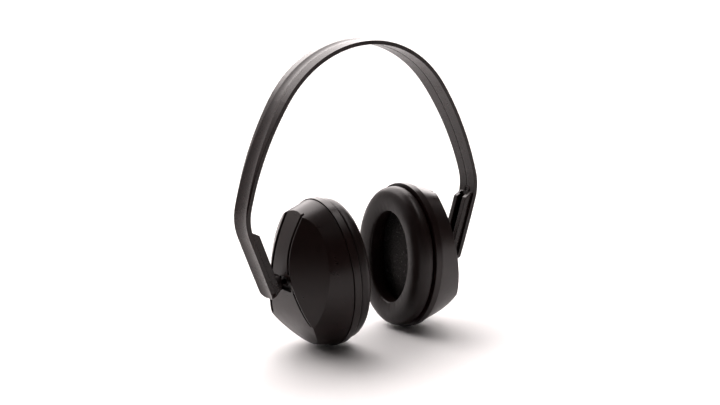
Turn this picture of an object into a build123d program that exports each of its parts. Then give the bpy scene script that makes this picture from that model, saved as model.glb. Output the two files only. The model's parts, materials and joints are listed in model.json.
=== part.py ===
"""Over-head hearing protection earmuffs, built piece by piece.

Frame: X runs across the head, Y from front to back, +Z up, with the floor under the cups at z = 0.
All pieces are made for the +X side and mirrored for the other side. Sizes are in millimetres.
"""
import os
from math import cos, radians, sin, sqrt

from build123d import *

os.makedirs("parts", exist_ok=True)

# ---- headband: an arch of tangent arcs, then a knee and a straight arm ----
arch_height = 180.2
crown_radius = 69.4
crown_angle = 42.5
shoulder_radius = 75.5
shoulder_angle = 12.6
side_radius = 177.8
side_angle = 20.6
knee_radius = 31.0
arm_lean = 20.0
knee_angle = 90 + arm_lean - crown_angle - shoulder_angle - side_angle
arm_length = 40.4
arm_half_width = 7.3
arm_corner_round = 5.5
arm_end_slant = 3.3

# Strap sections along half the arch: position, half width, width of each sloping border.
strap_stations = (
    (0.0, 11.3, 6.6),
    (0.4, 9.0, 4.3),
    (0.68, arm_half_width, 0.8),
    (1.0, arm_half_width, 0.8),
)
strap_thickness = 2.8
border_drop = 0.6
hollow_depth = 0.85
inner_groove_half_width = 0.6
inner_groove_depth = 0.12

# ---- height channel inside each arm, depths from the arm's outer surface ----
channel_depth = 7.2
channel_half_width = 5.6
channel_top = -4.0
ramp_length = 4.8
groove_half_width = 3.9
groove_floor = 3.0
lip_start = 5.3
mouth_half_width = 2.5
groove_top = -3.0
groove_bottom = 36.6
catch_radius = 2.8
catch_hole_radius = 1.4
catch_down = -4.8
catch_height = 0.9

# ---- ear cup, in its own plane: u front to back, v up, n outward from the cup rim ----
cup_x = 27.8
cup_z = 45.0
cup_pitch = 3.0
rim_u = 35.3
rim_v = 44.9
rim_thickness = 4.6
seam_gap = 0.4
shell_inset = 0.5
shell_wall = 2.2
shell_end = 34.0
shell_end_u = 27.6
shell_end_v = 36.0
spigot_u = 31.2
spigot_v = 40.6
spigot_wall = 1.8
spigot_height = 3.2

# Outer face of the cup from top to bottom: height v, distance n, half width of the centre strip.
face_stations = (
    (50.0, 11.5, 9.8),
    (39.0, 19.2, 9.5),
    (24.0, 27.8, 8.9),
    (6.0, 32.2, 10.8),
    (-8.0, 31.4, 15.5),
    (-24.7, 26.7, 22.9),
    (-32.0, 22.4, 27.2),
    (-40.0, 16.5, 32.4),
    (-46.0, 11.2, 36.6),
)
facet_slope = 0.66
strip_groove_end = -23.4
strip_rim = 0.8
strip_groove_width = 1.8
strip_groove_depth = 1.5

# ---- ball pivot between arm and cup ----
pivot_v = 0.5
ball_centre = 25.6
ball_radius = 4.0
ball_flat = 0.5
fit_gap = 0.3
socket_radius = 6.5
socket_half_length = 3.1
boss_radius = 9.0
boss_half_length = 5.0
pocket_half_length = 10.2
pocket_half_height = 4.2
pocket_round = 1.0
pocket_floor = 29.4
pocket_wall = 1.8
stud_radius = 1.6
stud_head_radius = 2.1
stud_head_length = 1.0
stud_end = 35.7
knob_radius = 4.5
knob_start = 33.5
knob_tail = 10.0
shoe_half_width = 3.4
shoe_above = 7.0
shoe_below = 1.6
shoe_gap = 0.35
slide_neck_half_width = 2.1
slide_neck_half_length = 1.6
clip_radius = 8.4
clip_hole_radius = 5.6
clip_thickness = 0.8
clip_slots = 6

# ---- ear cushion and foam ----
opening_u = 18.6
opening_v = 28.3
cushion_u = 34.0
cushion_v = 43.2
cushion_back = -1.2
cushion_face = -11.4
cushion_outer_round = 5.2
cushion_inner_round = 3.2
cover_skin = 0.8
foam_gap = 0.3
plate_u = 30.2
plate_v = 39.6
plate_hole_u = 20.2
plate_hole_v = 30.2
plate_back = -0.1
lip_u = 24.2
lip_v = 33.7
lip_wall = 1.8
lip_end = 3.2
insert_front = 1.4
insert_step = 4.9
insert_back = 14.0
insert_u = 21.8
insert_v = 31.3
insert_flange_u = 25.6
insert_flange_v = 34.8


def unit(angle):
    return cos(radians(angle)), sin(radians(angle))


pitch_cos, pitch_sin = unit(cup_pitch)
lean_cos, lean_sin = unit(arm_lean)
cup_plane = Plane(origin=(cup_x, 0, cup_z), x_dir=(0, 1, 0), z_dir=(pitch_cos, 0, -pitch_sin))


def cup_level(n, v=0.0):
    """Plane parallel to the cup rim, n outward from it and v above its centre."""
    return Plane(
        origin=cup_plane.from_local_coords(Vector(0, v, n)),
        x_dir=cup_plane.x_dir,
        z_dir=cup_plane.z_dir,
    )


def arch_curve():
    """Outer curve of half the arch, from the crown to the arm end. Returns where the arm begins."""
    crown = JernArc((0, arch_height), (1, 0), crown_radius, -crown_angle)
    shoulder = JernArc(crown @ 1, crown % 1, shoulder_radius, -shoulder_angle)
    side = JernArc(shoulder @ 1, shoulder % 1, side_radius, -side_angle)
    knee = JernArc(side @ 1, side % 1, knee_radius, -knee_angle)
    PolarLine(knee @ 1, arm_length, direction=knee % 1)
    return knee @ 1


# The knee end of the outer surface carries the arm plane: local x front to back, y down the arm,
# z inward from the outer surface.
with BuildLine(mode=Mode.PRIVATE) as outer_curve:
    knee_end = arch_curve()
arch_path = Plane.XZ.from_local_coords(outer_curve.wire())
arm_plane = Plane(
    origin=(knee_end.X, 0, knee_end.Y),
    x_dir=(0, 1, 0),
    z_dir=(-lean_cos, 0, lean_sin),
)


def arch_station(position):
    """Plane across the strap at a fraction of the arch's length, y outward."""
    return Plane(origin=arch_path @ position, x_dir=(0, 1, 0), z_dir=arch_path % position)


def arm_point(down, depth):
    """X and Z of a point down the arm and inward from its outer surface."""
    point = arm_plane.from_local_coords(Vector(0, down, depth))
    return point.X, point.Z


def arm_level(depth):
    return Plane(
        origin=arm_plane.from_local_coords(Vector(0, 0, depth)),
        x_dir=arm_plane.x_dir,
        z_dir=arm_plane.z_dir,
    )


def arm_track(half_width, top, bottom):
    """Rectangle centred across the arm, between two distances down it."""
    with BuildSketch() as track:
        with Locations((0, (top + bottom) / 2)):
            Rectangle(2 * half_width, bottom - top)
    return track.sketch


def strap_section(half_width, border):
    """Cross-section of the strap: sloping borders, a hollow outer face and a fine groove inside."""
    middle = half_width - border
    inside = -strap_thickness
    with BuildSketch() as section:
        with BuildLine():
            ThreePointArc((-middle, 0), (0, -hollow_depth), (middle, 0))
            Polyline(
                (middle, 0),
                (half_width, -border_drop),
                (half_width, inside),
                (inner_groove_half_width, inside),
                (inner_groove_half_width, inside + inner_groove_depth),
                (-inner_groove_half_width, inside + inner_groove_depth),
                (-inner_groove_half_width, inside),
                (-half_width, inside),
                (-half_width, -border_drop),
                (-middle, 0),
            )
        make_face()
    return section.sketch


# ---- headband ----
with BuildPart() as half_band:
    with BuildLine(Plane.XZ):
        add(outer_curve.line)
    for position, half_width, border in strap_stations:
        with BuildSketch(arch_station(position)):
            add(strap_section(half_width, border))
    sweep(path=arch_path, multisection=True)
    # Channel body along the arm, with a ramp at its upper end.
    with BuildSketch(Plane.XZ):
        with BuildLine():
            Polyline(
                arm_point(channel_top, strap_thickness - 0.5),
                arm_point(channel_top, strap_thickness),
                arm_point(channel_top + ramp_length, channel_depth),
                arm_point(arm_length, channel_depth),
                arm_point(arm_length, strap_thickness - 0.5),
                close=True,
            )
        make_face()
    extrude(amount=channel_half_width, both=True)
    # Wide groove for the slider's shoe, then the narrow mouth that keeps the shoe in.
    with BuildSketch(arm_level(groove_floor)):
        add(arm_track(groove_half_width, groove_top, groove_bottom))
    extrude(amount=lip_start - groove_floor, mode=Mode.SUBTRACT)
    with BuildSketch(arm_level(lip_start)):
        add(arm_track(mouth_half_width, groove_top, groove_bottom))
    extrude(amount=channel_depth - lip_start + 1, mode=Mode.SUBTRACT)
    # Ring-shaped catch where the channel runs into the strap.
    with BuildSketch(arm_level(strap_thickness - 0.4)):
        with Locations((0, catch_down)):
            Circle(catch_radius)
            Circle(catch_hole_radius, mode=Mode.SUBTRACT)
        add(arm_track(groove_half_width, groove_top, 0), mode=Mode.SUBTRACT)
    extrude(amount=catch_height + 0.4)
    # Slanted cut across the arm's free end, then its two rounded corners.
    tip = arm_point(arm_length, border_drop)
    inner = arm_point(arm_length - arm_end_slant, channel_depth + 0.1)
    low = arm_point(arm_length + 1, channel_depth + 0.1)
    with BuildSketch(Plane.XZ):
        with BuildLine():
            Polyline(tip, inner, low, close=True)
        make_face()
    extrude(amount=2 * arm_half_width, both=True, mode=Mode.SUBTRACT)
    corner_centre = arm_half_width - arm_corner_round
    with BuildSketch(arm_level(-1)):
        for side in (1, -1):
            with Locations((side * arm_half_width, arm_length)):
                Rectangle(2 * arm_corner_round, 2 * arm_corner_round)
        for side in (1, -1):
            with Locations((side * corner_centre, arm_length - arm_corner_round)):
                Circle(arm_corner_round, mode=Mode.SUBTRACT)
        add(arm_track(corner_centre, arm_length - 2 * arm_corner_round, arm_length), mode=Mode.SUBTRACT)
    extrude(amount=channel_depth + 2, mode=Mode.SUBTRACT)

with BuildPart() as headband:
    add(half_band.part)
    mirror(half_band.part, about=Plane.YZ)
headband.part.label = "headband"
export_step(headband.part, "parts/headband.step")


# ---- ear cup shape ----
def cup_side(u=0.0):
    """Plane seen from the front of the cup: x outward along n, y up along v."""
    return Plane(
        origin=cup_plane.from_local_coords(Vector(u, 0, 0)),
        x_dir=cup_plane.z_dir,
        z_dir=(0, -1, 0),
    )


def oval_level(n, u, v):
    """Oval sketch on the cup level at n."""
    with BuildSketch(cup_level(n)) as oval:
        Ellipse(u, v)
    return oval.sketch


def face_curve(inset):
    return [(n - inset, v) for v, n, _ in face_stations]


def facet_curve(inset):
    """Where each slanted facet would meet the cup's middle plane, so that it starts at the strip's edge."""
    return [(n - inset + facet_slope * half_width, v) for v, n, half_width in face_stations]


def inside_curve(points):
    """Area of the cup's side view inside a curve that runs from its top to its bottom."""
    with BuildSketch() as area:
        with BuildLine():
            curve = Spline(*points)
            Polyline(curve @ 1, (-20, -60), (-20, 60), curve @ 0)
        make_face()
    return area.sketch


def cup_block(inset):
    """Solid inside the cup's outer surface, drawn in by an inset."""
    back = rim_thickness + seam_gap
    with BuildSketch(cup_side()) as facet_side:
        add(inside_curve(facet_curve(inset * sqrt(1 + facet_slope**2))))
    with BuildPart() as tent:
        for side in (1, -1):
            slant = Vector(0, side, 0) - cup_plane.z_dir * facet_slope
            extrude(facet_side.sketch, amount=60, dir=slant.normalized())
    with BuildPart() as block:
        add(oval_level(back, rim_u - shell_inset - inset, rim_v - shell_inset - inset))
        add(oval_level(shell_end, shell_end_u - inset, shell_end_v - inset))
        loft()
        with BuildSketch(cup_side()):
            add(inside_curve(face_curve(inset)))
        extrude(amount=rim_u + 5, both=True, mode=Mode.INTERSECT)
        add(tent.part, mode=Mode.INTERSECT)
    return block.part


def oval_ring(start, end, outer_u, outer_v, inner_u, inner_v):
    """Oval ring between two cup levels."""
    with BuildPart() as ring:
        with BuildSketch(cup_level(start)):
            Ellipse(outer_u, outer_v)
            Ellipse(inner_u, inner_v, mode=Mode.SUBTRACT)
        extrude(amount=end - start)
    return ring.part


def pivot_disc(start, end, radius):
    """Round solid about the pivot axis between two cup levels."""
    with BuildPart() as disc:
        with BuildSketch(cup_level(start, pivot_v)):
            Circle(radius)
        extrude(amount=end - start)
    return disc.part


def pivot_ball(radius):
    with BuildPart() as ball:
        Sphere(radius)
    return cup_level(ball_centre, pivot_v) * ball.part


def strip_groove():
    """Two narrow grooves just inside the strip's edges."""
    outer_edge = [(width - strip_rim, v) for v, _, width in face_stations]
    inner_edge = [(width - strip_rim - strip_groove_width, v) for v, _, width in face_stations]
    with BuildSketch(cup_side()) as layer:
        add(inside_curve(face_curve(-1)))
        add(inside_curve(face_curve(strip_groove_depth)), mode=Mode.SUBTRACT)
        with Locations((0, strip_groove_end - 30)):
            Rectangle(120, 60, mode=Mode.SUBTRACT)
    with BuildPart() as bands:
        for side in (1, -1):
            with BuildSketch(cup_level(0)):
                with BuildLine():
                    outer = Spline(*[(side * u, v) for u, v in outer_edge])
                    inner = Spline(*[(side * u, v) for u, v in inner_edge])
                    Line(outer @ 0, inner @ 0)
                    Line(outer @ 1, inner @ 1)
                make_face()
            extrude(amount=shell_end + 5)
        extrude(layer.sketch, amount=rim_u, both=True, mode=Mode.INTERSECT)
    return bands.part


def pivot_slot(start, end, half_length, half_height, corner):
    """Oblong block across the pivot between two cup levels."""
    with BuildPart() as slot:
        with BuildSketch(cup_level(start, pivot_v)):
            RectangleRounded(2 * half_length, 2 * half_height, corner)
        extrude(amount=end - start)
    return slot.part


# ---- cup shell ----
with BuildPart() as socket_boss:
    add(pivot_disc(ball_centre - boss_half_length, shell_end, boss_radius))
    add(
        pivot_slot(
            pocket_floor - pocket_wall,
            shell_end,
            pocket_half_length + pocket_wall,
            pocket_half_height + pocket_wall,
            pocket_round + pocket_wall,
        )
    )
    add(cup_block(0.1), mode=Mode.INTERSECT)

with BuildPart() as cup_shell:
    add(cup_block(0))
    add(strip_groove(), mode=Mode.SUBTRACT)
    add(cup_block(shell_wall), mode=Mode.SUBTRACT)
    add(socket_boss.part)
    add(
        pivot_slot(pocket_floor, shell_end + 2, pocket_half_length, pocket_half_height, pocket_round),
        mode=Mode.SUBTRACT,
    )
    add(pivot_ball(socket_radius + fit_gap), mode=Mode.SUBTRACT)
    add(pivot_disc(rim_thickness, ball_centre, socket_radius + fit_gap), mode=Mode.SUBTRACT)

# ---- retaining clip on the inner end of the boss ----
with BuildPart() as socket_clip:
    clip_level = ball_centre - boss_half_length
    with BuildSketch(cup_level(clip_level - clip_thickness, pivot_v)):
        Circle(clip_radius)
        Circle(clip_hole_radius, mode=Mode.SUBTRACT)
        with PolarLocations(clip_radius, clip_slots):
            Rectangle(2.4, 1.4, mode=Mode.SUBTRACT)
    extrude(amount=clip_thickness)

# ---- socket ring: a ring with a ball-shaped outside and inside ----
with BuildPart() as socket_ring:
    add(pivot_ball(socket_radius))
    add(
        pivot_disc(ball_centre - socket_half_length, ball_centre + socket_half_length, socket_radius + 1),
        mode=Mode.INTERSECT,
    )
    add(pivot_ball(ball_radius + fit_gap), mode=Mode.SUBTRACT)
    # Split that lets the ring snap over the ball.
    with BuildSketch(cup_level(0, pivot_v)):
        with Locations((0, socket_radius)):
            Rectangle(1.0, 2 * socket_radius)
    extrude(amount=shell_end, mode=Mode.SUBTRACT)

# ---- ball stud, free to turn in the slider's knob ----
with BuildPart() as ball_stud:
    add(pivot_ball(ball_radius))
    add(pivot_disc(ball_centre, stud_end, stud_radius))
    add(pivot_disc(stud_end - stud_head_length, stud_end, stud_head_radius))
    ball_end = ball_centre - ball_radius
    add(pivot_disc(ball_end, ball_end + ball_flat, ball_radius), mode=Mode.SUBTRACT)


# ---- slider: shoe in the channel, neck through its mouth, knob outside it ----
def arm_block(depth_start, depth_end, half_width, top, bottom):
    with BuildPart() as block:
        with BuildSketch(arm_level(depth_start)):
            with Locations((0, (top + bottom) / 2)):
                Rectangle(2 * half_width, bottom - top)
        extrude(amount=depth_end - depth_start)
    return block.part


stud_point = arm_plane.to_local_coords(cup_plane.from_local_coords(Vector(0, pivot_v, stud_end)))
stud_down = stud_point.Y
with BuildPart() as slider:
    add(pivot_disc(knob_start, stud_end + knob_tail, knob_radius))
    fillet(slider.faces().sort_by(Axis.X)[0].edges(), radius=0.9)
    add(
        arm_block(channel_depth + shoe_gap, 60, 40, stud_down - 40, stud_down + 40),
        mode=Mode.INTERSECT,
    )
    neck_start = groove_floor + shoe_gap
    add(
        arm_block(
            neck_start,
            channel_depth + shoe_gap + 0.5,
            slide_neck_half_width,
            stud_down - slide_neck_half_length,
            stud_down + slide_neck_half_length,
        )
    )
    add(
        arm_block(
            neck_start,
            lip_start - shoe_gap,
            shoe_half_width,
            stud_down - shoe_above,
            stud_down + shoe_below,
        )
    )
    add(pivot_disc(0, stud_end + fit_gap, stud_radius + fit_gap), mode=Mode.SUBTRACT)
    add(
        pivot_disc(
            stud_end - stud_head_length - fit_gap,
            stud_end + fit_gap,
            stud_head_radius + fit_gap,
        ),
        mode=Mode.SUBTRACT,
    )

# ---- cup rim: the flange that carries the cushion, with a spigot inside the shell ----
with BuildPart() as cup_rim:
    add(oval_ring(0, rim_thickness, rim_u, rim_v, lip_u + fit_gap, lip_v + fit_gap))
    add(
        oval_ring(
            rim_thickness - 0.5,
            rim_thickness + spigot_height,
            spigot_u,
            spigot_v,
            spigot_u - spigot_wall,
            spigot_v - spigot_wall,
        )
    )

# ---- cushion plate, which snaps into the rim ----
with BuildPart() as cushion_plate:
    add(oval_ring(cushion_back + 0.1, plate_back, plate_u, plate_v, plate_hole_u, plate_hole_v))
    add(oval_ring(plate_back - 0.4, lip_end, lip_u, lip_v, lip_u - lip_wall, lip_v - lip_wall))


def face_edges(ring):
    """Edges of the ring's flat face on the head side, shortest first."""
    flat_faces = ring.faces().filter_by(GeomType.PLANE)
    head_face = flat_faces.sort_by(Axis(cup_plane.origin, cup_plane.z_dir))[0]
    return head_face.edges().sort_by(SortBy.LENGTH)


def cushion_ring(inset, back):
    """Oval ring with rounded edges at the face that meets the head."""
    with BuildPart() as ring:
        with BuildSketch(cup_level(back)):
            Ellipse(cushion_u - inset, cushion_v - inset)
            Ellipse(opening_u + inset, opening_v + inset, mode=Mode.SUBTRACT)
        extrude(amount=cushion_face + inset - back)
        fillet(face_edges(ring)[-1], radius=cushion_outer_round - inset)
        fillet(face_edges(ring)[0], radius=cushion_inner_round - inset)
    return ring.part


# ---- cushion: vinyl cover and the foam ring inside it ----
with BuildPart() as cushion_cover:
    add(cushion_ring(0, cushion_back))
    add(cushion_ring(cover_skin, cushion_back), mode=Mode.SUBTRACT)

with BuildPart() as cushion_foam:
    add(cushion_ring(cover_skin + foam_gap, cushion_back - foam_gap))

# ---- sound-absorbing foam pad inside the cup ----
with BuildPart() as foam_insert:
    with BuildSketch(cup_level(insert_front)):
        Ellipse(insert_u, insert_v)
    extrude(amount=insert_back - insert_front)
    with BuildSketch(cup_level(insert_step)):
        Ellipse(insert_flange_u, insert_flange_v)
    extrude(amount=insert_back - insert_step)

cup_pieces = {
    "cup_shell": cup_shell.part,
    "socket_clip": socket_clip.part,
    "socket_ring": socket_ring.part,
    "ball_stud": ball_stud.part,
    "slider": slider.part,
    "cup_rim": cup_rim.part,
    "cushion_plate": cushion_plate.part,
    "cushion_cover": cushion_cover.part,
    "cushion_foam": cushion_foam.part,
    "foam_insert": foam_insert.part,
}

for piece_name, piece_shape in cup_pieces.items():
    with BuildPart() as right_piece:
        add(piece_shape)
    right_piece.part.label = f"right_{piece_name}"
    export_step(right_piece.part, f"parts/right_{piece_name}.step")
    with BuildPart() as left_piece:
        mirror(piece_shape, about=Plane.YZ)
    left_piece.part.label = f"left_{piece_name}"
    export_step(left_piece.part, f"parts/left_{piece_name}.step")
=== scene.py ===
"""Looks of the over-head hearing protection earmuffs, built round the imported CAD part. Metres."""
import json
import math

import bmesh
import bpy
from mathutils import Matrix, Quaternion, Vector


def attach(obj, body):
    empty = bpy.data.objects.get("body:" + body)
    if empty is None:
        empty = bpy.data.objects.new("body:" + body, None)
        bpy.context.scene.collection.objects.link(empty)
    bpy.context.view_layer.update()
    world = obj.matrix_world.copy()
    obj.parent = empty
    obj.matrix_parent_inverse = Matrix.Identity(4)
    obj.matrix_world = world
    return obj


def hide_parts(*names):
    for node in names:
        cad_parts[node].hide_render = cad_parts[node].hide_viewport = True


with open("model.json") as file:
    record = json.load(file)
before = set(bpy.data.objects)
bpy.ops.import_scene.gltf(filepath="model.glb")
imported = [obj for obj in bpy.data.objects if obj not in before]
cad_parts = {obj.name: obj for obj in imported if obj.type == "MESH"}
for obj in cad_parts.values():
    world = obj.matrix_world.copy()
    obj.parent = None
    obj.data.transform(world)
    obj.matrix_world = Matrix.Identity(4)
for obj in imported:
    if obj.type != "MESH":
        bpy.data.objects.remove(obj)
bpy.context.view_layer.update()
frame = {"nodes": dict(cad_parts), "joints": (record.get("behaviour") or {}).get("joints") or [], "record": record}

MM = 0.001
SIDES = ("right", "left")


# ---------------------------------------------------------------- cup axes
BALL_OUTWARD = 25.6 * MM
BALL_UP = 0.5 * MM
BACKWARD = Vector((0, 1, 0))


def joint(name):
    return next(j for j in frame["joints"] if j["name"] == name)


def cup_axes(side):
    """Origin at the middle of the cup rim, then the cup's own u (back), v (up) and n (outward)."""
    outward = Vector(joint(f"{side}_stud_turn")["axis"])
    up = Vector(joint(f"{side}_swivel")["axis"])
    ball_centre = Vector(joint(f"{side}_stud_turn")["pos_m"])
    origin = ball_centre - outward * BALL_OUTWARD - up * BALL_UP
    return origin, BACKWARD, up, outward


# ---------------------------------------------------------------- mesh helpers
def mesh_object(name, build):
    """New mesh object whose geometry is made by build(bm)."""
    bm = bmesh.new()
    build(bm)
    bmesh.ops.recalc_face_normals(bm, faces=bm.faces)
    data = bpy.data.meshes.new(name)
    bm.to_mesh(data)
    bm.free()
    data.shade_smooth()
    piece = bpy.data.objects.new(name, data)
    bpy.context.scene.collection.objects.link(piece)
    return piece


# ---------------------------------------------------------------- material helpers
class Surface:
    """A Principled material with a few procedural layers in object space."""

    def __init__(self, name, colour, roughness, specular=0.5):
        self.name = name
        self.material = bpy.data.materials.new(f"finish_{name}")
        self.material.use_nodes = True
        self.nodes = self.material.node_tree.nodes
        self.links = self.material.node_tree.links
        self.shader = self.nodes["Principled BSDF"]
        self.shader.inputs["Base Color"].default_value = (*colour, 1)
        self.shader.inputs["Roughness"].default_value = roughness
        self.shader.inputs["Specular IOR Level"].default_value = specular
        self.place = self.nodes.new("ShaderNodeTexCoord").outputs["Object"]

    def stretched(self, scale):
        """Object coordinates scaled differently along each axis."""
        mapping = self.nodes.new("ShaderNodeMapping")
        mapping.inputs["Scale"].default_value = scale
        self.links.new(self.place, mapping.inputs["Vector"])
        return mapping.outputs["Vector"]

    def noise(self, scale, detail=3.0, roughness=0.5, place=None):
        texture = self.nodes.new("ShaderNodeTexNoise")
        texture.inputs["Scale"].default_value = scale
        texture.inputs["Detail"].default_value = detail
        texture.inputs["Roughness"].default_value = roughness
        self.links.new(place or self.place, texture.inputs["Vector"])
        return texture.outputs["Fac"]

    def voronoi(self, scale, feature="F1"):
        texture = self.nodes.new("ShaderNodeTexVoronoi")
        texture.feature = feature
        texture.inputs["Scale"].default_value = scale
        self.links.new(self.place, texture.inputs["Vector"])
        return texture.outputs["Distance"]

    def spread(self, value, low_in, high_in, low_out, high_out):
        remap = self.nodes.new("ShaderNodeMapRange")
        remap.inputs["From Min"].default_value = low_in
        remap.inputs["From Max"].default_value = high_in
        remap.inputs["To Min"].default_value = low_out
        remap.inputs["To Max"].default_value = high_out
        self.links.new(value, remap.inputs["Value"])
        return remap.outputs["Result"]

    def vary_colour(self, value, dark, light):
        mix = self.nodes.new("ShaderNodeMix")
        mix.data_type = "RGBA"
        mix.inputs["A"].default_value = (*dark, 1)
        mix.inputs["B"].default_value = (*light, 1)
        self.links.new(value, mix.inputs["Factor"])
        self.links.new(mix.outputs["Result"], self.shader.inputs["Base Color"])

    def vary_roughness(self, value):
        self.links.new(value, self.shader.inputs["Roughness"])

    def soften_edges(self, radius):
        """Small roundings along the sharp edges, which catch thin highlights."""
        node = self.nodes.new("ShaderNodeBevel")
        node.samples = EDGE_SAMPLES
        node.inputs["Radius"].default_value = radius
        self.links.new(node.outputs["Normal"], self.shader.inputs["Normal"])

    def bump(self, height, strength, distance):
        """Adds a bump layer on top of any earlier one."""
        node = self.nodes.new("ShaderNodeBump")
        node.inputs["Strength"].default_value = strength
        node.inputs["Distance"].default_value = distance
        self.links.new(height, node.inputs["Height"])
        normal = self.shader.inputs["Normal"]
        if normal.is_linked:
            self.links.new(normal.links[0].from_socket, node.inputs["Normal"])
        self.links.new(node.outputs["Normal"], normal)


SPECULAR = 0.42
EDGE_ROUND = 0.45 * MM
EDGE_SAMPLES = 6
TONE_LIFT = 1.35
GRAIN_STRENGTH = 0.08
BLACK = (0.0120, 0.0048, 0.0042)
DEEP_BLACK = (0.0080, 0.0030, 0.0026)
BLACK_VINYL = (0.0120, 0.0050, 0.0044)
DARK_FOAM = (0.050, 0.046, 0.045)


def moulded_plastic(name, colour, roughness, grain_size, grain_depth):
    """Moulded plastic: a fine texture, faint handling marks and a slight tone change."""
    surface = Surface(name, colour, roughness, SPECULAR)
    tone = surface.noise(55, 4, 0.6)
    lighter = [c * TONE_LIFT for c in colour]
    surface.vary_colour(surface.spread(tone, 0.3, 0.7, 0, 1), colour, lighter)
    surface.soften_edges(EDGE_ROUND)
    marks = surface.noise(140, 5, 0.65)
    surface.vary_roughness(surface.spread(marks, 0.3, 0.75, roughness - 0.03, roughness + 0.05))
    surface.bump(surface.noise(1 / grain_size, 2, 0.5), GRAIN_STRENGTH, grain_depth)
    return surface


# ---------------------------------------------------------------- materials
def make_materials():
    band = moulded_plastic("band_plastic", BLACK, 0.26, 0.9 * MM, 0.05 * MM)
    shell = moulded_plastic("shell_plastic", BLACK, 0.30, 0.5 * MM, 0.05 * MM)
    rim = moulded_plastic("rim_plastic", BLACK, 0.30, 0.6 * MM, 0.04 * MM)
    slider = moulded_plastic("slider_plastic", DEEP_BLACK, 0.42, 0.6 * MM, 0.03 * MM)
    pivot = moulded_plastic("pivot_plastic", DEEP_BLACK, 0.36, 0.8 * MM, 0.02 * MM)

    steel = Surface("clip_steel", (0.55, 0.55, 0.56), 0.3)
    steel.shader.inputs["Metallic"].default_value = 1.0
    steel.bump(steel.noise(900, 2, 0.5, steel.stretched((1, 0.1, 1))), 0.15, 0.02 * MM)

    vinyl = Surface("cushion_vinyl", BLACK_VINYL, 0.36, SPECULAR)
    vinyl.vary_roughness(vinyl.spread(vinyl.noise(120, 4, 0.6), 0.3, 0.7, 0.32, 0.42))
    vinyl.bump(vinyl.voronoi(1500, "DISTANCE_TO_EDGE"), 0.12, 0.04 * MM)
    vinyl.bump(vinyl.noise(60, 3, 0.5, vinyl.stretched((1, 1, 0.35))), 0.25, 0.5 * MM)

    foam = Surface("cushion_foam", (0.30, 0.30, 0.28), 0.9)
    foam.bump(foam.voronoi(1200), 0.5, 0.3 * MM)

    insert = Surface("insert_foam", DARK_FOAM, 0.95)
    cells = insert.voronoi(900)
    insert.bump(cells, 0.8, 0.5 * MM)
    specks = insert.spread(insert.noise(800, 2, 0.7), 0.62, 0.72, 0, 1)
    insert.vary_colour(specks, (0.044, 0.040, 0.039), (0.22, 0.21, 0.20))

    made = (band, shell, rim, slider, pivot, steel, vinyl, foam, insert)
    return {surface.name: surface.material for surface in made}


materials = make_materials()
node_slots = {part["node"]: part["material_slot"] for part in frame["record"]["subparts"]}
for node_name, node_object in frame["nodes"].items():
    node_object.data.materials.clear()
    node_object.data.materials.append(materials[node_slots[node_name]])


# ---------------------------------------------------------------- cushions
# Half widths and half heights in u and v, before the swelling.
OPENING = (18.6 * MM, 28.3 * MM)
CUSHION = (34.0 * MM, 43.2 * MM)
CUSHION_BACK = -0.9 * MM
CUSHION_STEPS = 120
VOXEL = 0.85 * MM
# The back down to this depth, and the opening's wall out to this share of its size, are held.
HELD_DEPTH = 0.9 * MM
HELD_WALL = 1.03
SIMULATION_SCALE = 5
MOST_SWELL = 0.9 * MM
FRAMES = 20
GATHER_DEPTH = 0.07 * MM
GATHER_REACH = 0.16


def cushion_section():
    """Section of the blank, from the back of the opening round the face: (fraction of the way out, n)."""
    wall = [(0.0, -0.9), (0.0, -3.5), (0.0, -6.0), (0.0, -8.8)]
    lip = [(0.01, -9.45), (0.05, -9.75)]
    face = [(0.16, -10.05), (0.30, -10.35), (0.45, -10.55), (0.60, -10.5)]
    shoulder = [(0.72, -10.15), (0.83, -9.4), (0.92, -8.2), (0.98, -6.7), (1.0, -5.2)]
    side = [(1.005, -3.6), (1.005, -2.0), (0.995, -1.3), (0.95, -0.9), (0.5, -0.9)]
    return [(fraction, n * MM) for fraction, n in wall + lip + face + shoulder + side]


def ring_mesh(name, section, inner, outer, steps, scale):
    """Closed oval ring in the cup's own (u, v, n), for a section of (fraction, n) points."""

    def build(bm):
        loops = []
        for i in range(steps):
            angle = 2 * math.pi * i / steps
            loop = []
            for fraction, n in section:
                u = (inner[0] + (outer[0] - inner[0]) * fraction) * math.cos(angle)
                v = (inner[1] + (outer[1] - inner[1]) * fraction) * math.sin(angle)
                loop.append(bm.verts.new(Vector((u, v, n)) * scale))
            loops.append(loop)
        for loop, following in zip(loops, loops[1:] + loops[:1]):
            for k in range(len(section)):
                after = (k + 1) % len(section)
                bm.faces.new((loop[k], loop[after], following[after], following[k]))

    return mesh_object(name, build)


def apply_modifier(piece, modifier):
    """Replaces the piece's mesh by what the modifier makes of it."""
    shown = piece.evaluated_get(bpy.context.evaluated_depsgraph_get())
    result = bpy.data.meshes.new_from_object(shown)
    piece.modifiers.remove(modifier)
    piece.data = result


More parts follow.
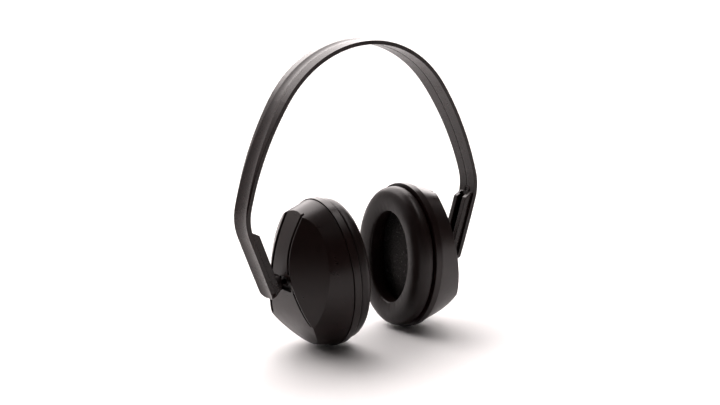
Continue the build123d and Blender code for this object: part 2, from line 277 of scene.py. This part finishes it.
def swell(piece):
    """Blows up the blank by a cloth simulation, back and opening wall held, and limits how far it moves."""
    remesh = piece.modifiers.new("remesh", "REMESH")
    remesh.mode = "VOXEL"
    remesh.voxel_size = VOXEL * SIMULATION_SCALE
    apply_modifier(piece, remesh)
    held = piece.vertex_groups.new(name="held")
    seam = CUSHION_BACK - HELD_DEPTH

    def is_held(point):
        """True for the back, which is welded to the plate, and for the wall of the opening."""
        across = math.hypot(point.x / OPENING[0], point.y / OPENING[1])
        return point.z > seam or across < HELD_WALL

    fixed = [vertex.index for vertex in piece.data.vertices if is_held(vertex.co / SIMULATION_SCALE)]
    held.add(fixed, 1.0, "REPLACE")
    before = [vertex.co.copy() for vertex in piece.data.vertices]

    cloth = piece.modifiers.new("cloth", "CLOTH")
    settings = cloth.settings
    settings.quality = 5
    settings.mass = 0.3
    settings.tension_stiffness = 15
    settings.compression_stiffness = 15
    settings.shear_stiffness = 10
    settings.bending_stiffness = 0.5
    settings.use_pressure = True
    settings.uniform_pressure_force = 4
    settings.effector_weights.gravity = 0
    settings.vertex_group_mass = "held"
    cloth.collision_settings.use_self_collision = False
    cloth.point_cache.frame_start = 1
    cloth.point_cache.frame_end = FRAMES
    for number in range(1, FRAMES + 1):
        bpy.context.scene.frame_set(number)
    apply_modifier(piece, cloth)
    bpy.context.scene.frame_set(1)
    most = MOST_SWELL * SIMULATION_SCALE
    for vertex, start in zip(piece.data.vertices, before):
        move = vertex.co - start
        if move.length > most:
            vertex.co = start + move * (most / move.length)


def pucker(point):
    """How far the vinyl is drawn in by small gathers beside the opening, at a point in (u, v, n)."""
    angle = math.atan2(point.y / OPENING[1], point.x / OPENING[0])
    spread = math.hypot(point.x / OPENING[0], point.y / OPENING[1]) - 1
    near_lip = math.exp(-((spread / GATHER_REACH) ** 2))
    uneven = 0.55 + 0.45 * math.sin(3 * angle + 0.7) * math.sin(7 * angle + 2.1)
    waves = math.sin(31 * angle + 1.4 * math.sin(5 * angle)) + 0.5 * math.sin(47 * angle + 0.9)
    return GATHER_DEPTH * near_lip * uneven * waves


def make_cushion_mesh():
    """The swollen cushion in (u, v, n), metres, made once and used on both cups."""
    piece = ring_mesh("cushion_blank", cushion_section(), OPENING, CUSHION, CUSHION_STEPS, SIMULATION_SCALE)
    swell(piece)
    smoothing = piece.modifiers.new("smooth", "SMOOTH")
    smoothing.factor = 0.5
    smoothing.iterations = 2
    apply_modifier(piece, smoothing)
    for vertex in piece.data.vertices:
        point = vertex.co / SIMULATION_SCALE
        point.z += pucker(point)
        vertex.co = point
    made = piece.data
    bpy.data.objects.remove(piece)
    return made


def on_cup(name, data, side):
    """A piece whose mesh, given in (u, v, n), is put in place on a cup."""
    origin, u_axis, v_axis, n_axis = cup_axes(side)
    placed = data.copy()
    for vertex in placed.vertices:
        u, v, n = vertex.co
        vertex.co = origin + u_axis * u + v_axis * v + n_axis * n
    if u_axis.cross(v_axis).dot(n_axis) < 0:
        placed.flip_normals()
    placed.shade_smooth()
    piece = bpy.data.objects.new(name, placed)
    bpy.context.scene.collection.objects.link(piece)
    return piece


def cushion_cover(side, data):
    piece = on_cup(f"{side}_cushion", data, side)
    piece.data.materials.append(materials["cushion_vinyl"])
    piece.modifiers.new("finer", "SUBSURF").render_levels = 1
    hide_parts(f"{side}_cushion_cover", f"{side}_cushion_foam")
    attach(piece, f"{side}_cup_body")


# ---------------------------------------------------------------- foam pads
FOAM_HALF_WIDTH = 21.6 * MM
FOAM_HALF_HEIGHT = 31.0 * MM
FOAM_TUCK = 2.0 * MM
FOAM_STEPS = 96
# Rings of the pad, from the middle of its front to the middle of its back: (fraction of size, n in mm).
FOAM_RINGS = (
    (0.10, 1.45), (0.25, 1.5), (0.45, 1.75), (0.62, 2.3), (0.78, 3.2), (0.90, 4.1), (1.0, 4.9),
    (1.14, 5.2), (1.18, 6.0), (1.17, 13.0), (1.12, 13.9), (0.6, 14.0), (0.2, 14.0),
)


def make_foam_mesh():
    """Pad with a crowned front, in (u, v, n), made once and used in both cups."""

    def build(bm):
        loops = []
        for fraction, n in FOAM_RINGS:
            loop = []
            for i in range(FOAM_STEPS):
                angle = 2 * math.pi * i / FOAM_STEPS
                u = FOAM_HALF_WIDTH * fraction * math.cos(angle)
                v = (FOAM_HALF_HEIGHT * fraction - FOAM_TUCK * max(fraction - 1, 0)) * math.sin(angle)
                loop.append(bm.verts.new((u, v, n * MM)))
            loops.append(loop)
        for loop, following in zip(loops, loops[1:]):
            for i in range(FOAM_STEPS):
                j = (i + 1) % FOAM_STEPS
                bm.faces.new((loop[i], loop[j], following[j], following[i]))
        bm.faces.new(loops[0])
        bm.faces.new(loops[-1])

    piece = mesh_object("foam_blank", build)
    made = piece.data
    bpy.data.objects.remove(piece)
    return made


def foam_insert(side, data):
    piece = on_cup(f"{side}_foam_pad", data, side)
    piece.data.materials.append(materials["insert_foam"])
    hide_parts(f"{side}_foam_insert")
    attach(piece, f"{side}_cup_body")


cushion_mesh = make_cushion_mesh()
foam_mesh = make_foam_mesh()
for side_name in SIDES:
    cushion_cover(side_name, cushion_mesh)
    foam_insert(side_name, foam_mesh)


# ---------------------------------------------------------------- stage, lights and camera
WARM = (1.0, 0.95, 0.942)
FLOOR_SIZE = 8
FLOOR_BELOW = 0.2 * MM
# Strength of the room: everywhere, behind the object low down, and behind it high up.
WORLD_DIM = 0.03
WORLD_GLOW = 0.7
WORLD_BRIGHT = 3.6
# The directions that the bright zone lies in, and how far along each it starts and is full.
BEHIND = (0, 1, 0)
BEHIND_FADE = (0.05, 0.55)
ABOVE = (0.45, 0, 1)
ABOVE_FADE = (0.24, 0.48)
SUN_STRENGTH = 0.3
SUN_SPREAD = 55
BAR_PLACE = (0.38, -0.08, 0.93)
BAR_TARGET = (0, 0, 0.08)
BAR_SIZE = (1.1, 0.16)
BAR_POWER = 2.8
CAMERA_PLACE = Vector((-0.4378, -0.6092, 0.2391))
CAMERA_TARGET = Vector((-0.0019, 0, 0.0826))
CAMERA_ROLL = -1.8
SENSOR_WIDTH = 36
LENS = 63.8
EXPOSURE = 0.3
GAMMA = 0.85


def make_floor():
    bpy.ops.mesh.primitive_plane_add(size=FLOOR_SIZE, location=(0, 0, -FLOOR_BELOW))
    floor = bpy.context.object
    floor.name = "floor"
    surface = Surface("pale_floor", (0.93, 0.93, 0.93), 0.7, 0.1)
    floor.data.materials.append(surface.material)


def make_world():
    """Seen as plain white, while the light comes from a bright zone above and behind the object."""
    world = bpy.data.worlds.new("studio")
    bpy.context.scene.world = world
    world.use_nodes = True
    nodes = world.node_tree.nodes
    links = world.node_tree.links

    def fade(value, low, high, dim, bright):
        remap = nodes.new("ShaderNodeMapRange")
        remap.interpolation_type = "SMOOTHSTEP"
        remap.inputs["From Min"].default_value = low
        remap.inputs["From Max"].default_value = high
        remap.inputs["To Min"].default_value = dim
        remap.inputs["To Max"].default_value = bright
        links.new(value, remap.inputs["Value"])
        return remap.outputs["Result"]

    def along(axis):
        product = nodes.new("ShaderNodeVectorMath")
        product.operation = "DOT_PRODUCT"
        product.inputs[1].default_value = axis
        links.new(direction, product.inputs[0])
        return product.outputs["Value"]

    direction = nodes.new("ShaderNodeTexCoord").outputs["Generated"]
    above = fade(along(ABOVE), *ABOVE_FADE, WORLD_GLOW, WORLD_BRIGHT)
    behind = nodes.new("ShaderNodeMath")
    behind.operation = "MULTIPLY_ADD"
    links.new(fade(along(BEHIND), *BEHIND_FADE, 0, 1), behind.inputs[0])
    links.new(above, behind.inputs[1])
    behind.inputs[2].default_value = WORLD_DIM
    studio = behind.outputs["Value"]

    tint = nodes.new("ShaderNodeMix")
    tint.data_type = "RGBA"
    tint.inputs["A"].default_value = (*WARM, 1)
    tint.inputs["B"].default_value = (1, 1, 1, 1)
    strength = nodes.new("ShaderNodeMix")
    strength.inputs["B"].default_value = 1.0
    links.new(studio, strength.inputs["A"])
    seen = nodes.new("ShaderNodeLightPath").outputs["Is Camera Ray"]
    links.new(seen, strength.inputs["Factor"])
    links.new(seen, tint.inputs["Factor"])
    background = nodes["Background"]
    links.new(strength.outputs["Result"], background.inputs["Strength"])
    links.new(tint.outputs["Result"], background.inputs["Color"])


def aim(light, place, target):
    light.location = place
    light.rotation_mode = "QUATERNION"
    light.rotation_quaternion = (Vector(target) - Vector(place)).to_track_quat("-Z", "Y")
    light.visible_camera = False
    bpy.context.scene.collection.objects.link(light)


def softbox(name, place, target, size, power):
    lamp = bpy.data.lights.new(name, "AREA")
    lamp.shape = "RECTANGLE"
    lamp.size, lamp.size_y = size
    lamp.energy = power
    lamp.color = WARM
    aim(bpy.data.objects.new(name, lamp), place, target)


def overhead_sun():
    lamp = bpy.data.lights.new("overhead", "SUN")
    lamp.energy = SUN_STRENGTH
    lamp.angle = math.radians(SUN_SPREAD)
    lamp.color = WARM
    aim(bpy.data.objects.new("overhead", lamp), (-0.15, 0.35, 1.0), (0, 0, 0))


def make_camera():
    data = bpy.data.cameras.new("camera")
    data.sensor_width = SENSOR_WIDTH
    data.lens = LENS
    camera = bpy.data.objects.new("camera", data)
    camera.location = CAMERA_PLACE
    camera.rotation_mode = "QUATERNION"
    roll = Quaternion((0, 0, 1), math.radians(CAMERA_ROLL))
    camera.rotation_quaternion = (CAMERA_TARGET - CAMERA_PLACE).to_track_quat("-Z", "Y") @ roll
    bpy.context.scene.collection.objects.link(camera)
    bpy.context.scene.camera = camera


make_floor()
make_world()
overhead_sun()
softbox("top_bar", BAR_PLACE, BAR_TARGET, BAR_SIZE, BAR_POWER)
make_camera()
view = bpy.context.scene.view_settings
view.view_transform = "Standard"
view.exposure = EXPOSURE
view.gamma = GAMMA
